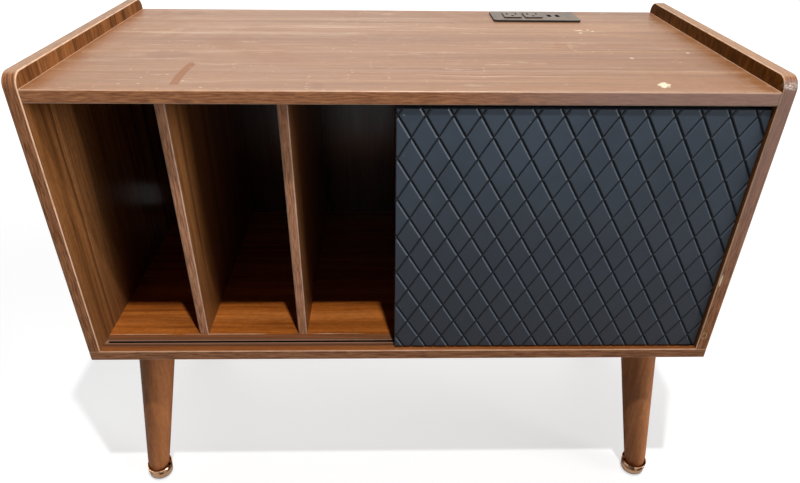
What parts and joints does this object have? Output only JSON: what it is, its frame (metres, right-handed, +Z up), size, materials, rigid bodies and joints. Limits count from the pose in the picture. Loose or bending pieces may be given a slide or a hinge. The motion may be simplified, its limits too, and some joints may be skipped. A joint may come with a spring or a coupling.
{
  "type": "record stand",
  "caption": "Low walnut cabinet on splayed tapered legs, with open upright record slots, a slate sliding door with crossed grooves and a tabletop outlet strip.",
  "frame": {"origin": "on the floor, under the middle of the cabinet", "axes": "+X to the right along the width, +Y to the back, +Z up; the front looks along -Y"},
  "size_m": [0.8, 0.381, 0.63],
  "materials": {
    "walnut_laminate": "satin walnut laminate",
    "back_laminate": "satin dark walnut laminate",
    "slate_paint": "matte slate paint on fibreboard",
    "leg_wood": "satin stained hardwood",
    "copper_plate": "polished copper plate",
    "black_nylon": "moulded",
    "brown_plastic": "extruded",
    "white_nylon": "moulded",
    "zinc_steel": "zinc plated",
    "beech": "raw beech",
    "outlet_plastic": "fine moulded texture",
    "socket_plastic": "satin",
    "port_metal": "tin plated",
    "circuit_board": "solder mask"
  },
  "bodies": {
    "cabinet": {"cam_bolts": "zinc_steel", "cam_locks": "zinc_steel", "wood_dowels": "beech", "base_side_screws": "zinc_steel", "base_divider_screws": "zinc_steel", "back_panel": "back_laminate", "back_panel_screws": "zinc_steel", "adjustable_shelf": "walnut_laminate", "shelf_pins": "zinc_steel", "lower_track": "brown_plastic", "upper_track": "brown_plastic", "outlet_bezel": "outlet_plastic", "left_outlet_socket": "socket_plastic", "left_usb_port": "port_metal", "right_outlet_socket": "socket_plastic", "right_usb_port": "port_metal", "usb_circuit_board": "circuit_board", "outlet_box": "outlet_plastic", "outlet_clamps": "zinc_steel", "outlet_clamp_screws": "zinc_steel", "outlet_cord_gland": "outlet_plastic", "front_left_ferrule": "copper_plate", "front_left_leg": "leg_wood", "front_left_glide": "black_nylon", "front_left_leg_plate": "zinc_steel", "front_right_ferrule": "copper_plate", "front_right_leg": "leg_wood", "front_right_glide": "black_nylon", "front_right_leg_plate": "zinc_steel", "rear_left_ferrule": "copper_plate", "rear_left_leg": "leg_wood", "rear_left_glide": "black_nylon", "rear_left_leg_plate": "zinc_steel", "rear_right_ferrule": "copper_plate", "rear_right_leg": "leg_wood", "rear_right_glide": "black_nylon", "rear_right_leg_plate": "zinc_steel", "hanger_bolts": "zinc_steel", "leg_plate_screws": "zinc_steel", "base_panel": "walnut_laminate", "top_panel": "walnut_laminate", "left_side_panel": "walnut_laminate", "right_side_panel": "walnut_laminate", "left_record_divider": "walnut_laminate", "right_record_divider": "walnut_laminate", "centre_partition": "walnut_laminate"},
    "door": {"sliding_door": "slate_paint", "left_roller_housing": "white_nylon", "right_roller_housing": "white_nylon", "left_roller_axle": "zinc_steel", "right_roller_axle": "zinc_steel", "left_top_guide": "white_nylon", "right_top_guide": "white_nylon", "roller_screws": "zinc_steel", "guide_screws": "zinc_steel"},
    "left_roller": {"left_roller_wheel": "white_nylon"},
    "right_roller": {"right_roller_wheel": "white_nylon"}
  },
  "joints": [
    {"name": "door_slide", "type": "slide", "parent": "cabinet", "child": "door", "axis": [1, 0, 0], "range_m": [-0.3755, 0]},
    {"name": "left_roller_spin", "type": "hinge", "parent": "door", "child": "left_roller", "pos_m": [0.0375, -0.173, 0.2794], "axis": [0, 1, 0], "continuous": true},
    {"name": "right_roller_spin", "type": "hinge", "parent": "door", "child": "right_roller", "pos_m": [0.338, -0.173, 0.2794], "axis": [0, 1, 0], "continuous": true}
  ],
  "couplings": [
    {"joint": "left_roller_spin", "follows": "door_slide", "rad_per_m": 90.909},
    {"joint": "right_roller_spin", "follows": "door_slide", "rad_per_m": 90.909}
  ]
}
